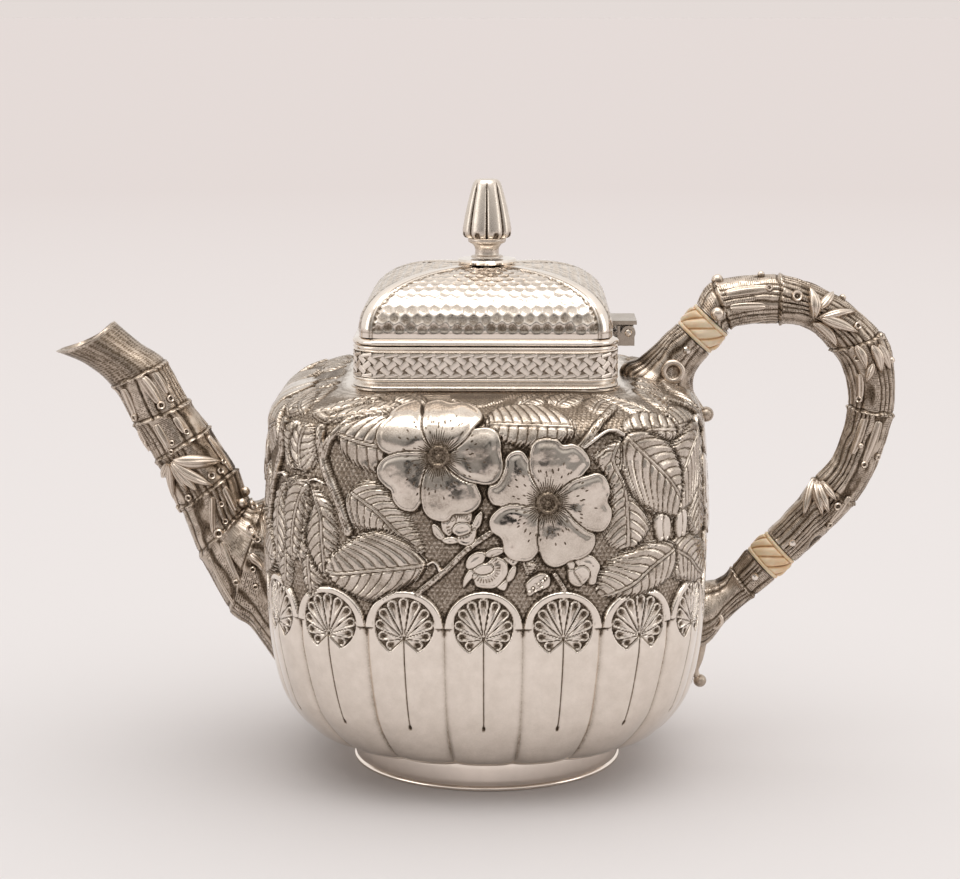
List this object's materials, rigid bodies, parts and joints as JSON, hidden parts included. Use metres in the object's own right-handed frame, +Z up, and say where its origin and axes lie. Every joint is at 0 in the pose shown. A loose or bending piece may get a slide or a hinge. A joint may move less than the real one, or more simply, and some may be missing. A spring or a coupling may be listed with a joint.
{
  "type": "hinged-lid teapot",
  "caption": "Silver teapot: rounded square lobed body chased with flowers, hinged hammered lid with fluted finial, bamboo spout and bamboo handle with ivory insulators.",
  "frame": {"origin": "on the table under the middle of the overall box", "axes": "+X towards the handle, -X towards the spout, +Z up; the body's vertical axis is at x = 3.5 mm"},
  "size_m": [0.237, 0.1246, 0.1656],
  "materials": {
    "silver": "hand-finished silver with a soft warm sheen and brown patina in the recesses",
    "oxidised_silver": "cast and chased silver, darkened in the grain and burnished on the high spots",
    "polished_silver": "mirror-polished silver",
    "ivory": "cream ivory with brown streaks, softly polished"
  },
  "bodies": {
    "pot": {"body_shell": "silver", "foot_ring": "polished_silver", "collar_wall": "silver", "collar_woven_band": "oxidised_silver", "collar_wire": "silver", "collar_rim": "polished_silver", "spout": "oxidised_silver", "spout_strainer": "silver", "upper_socket": "oxidised_silver", "lower_socket": "oxidised_silver", "handle_grip": "oxidised_silver", "upper_insulator": "ivory", "lower_insulator": "ivory", "upper_grip_pin": "polished_silver", "upper_socket_pin": "polished_silver", "lower_grip_pin": "polished_silver", "lower_socket_pin": "polished_silver", "spout_leaf_spray": "oxidised_silver", "grip_upper_leaf_spray": "oxidised_silver", "grip_outer_leaf_spray": "oxidised_silver", "grip_lower_leaf_spray": "oxidised_silver", "hinge_body_leaf": "silver", "hinge_pin": "polished_silver"},
    "lid": {"lid_dome": "silver", "lid_rim": "polished_silver", "lid_bezel": "silver", "finial": "silver", "finial_disc": "polished_silver", "finial_nut": "silver", "hinge_lid_leaf": "silver"}
  },
  "joints": [
    {"name": "lid_hinge", "type": "hinge", "parent": "pot", "child": "lid", "pos_m": [0.043, 0, 0.1235], "axis": [0, 1, 0], "range_deg": [0, 100]}
  ]
}
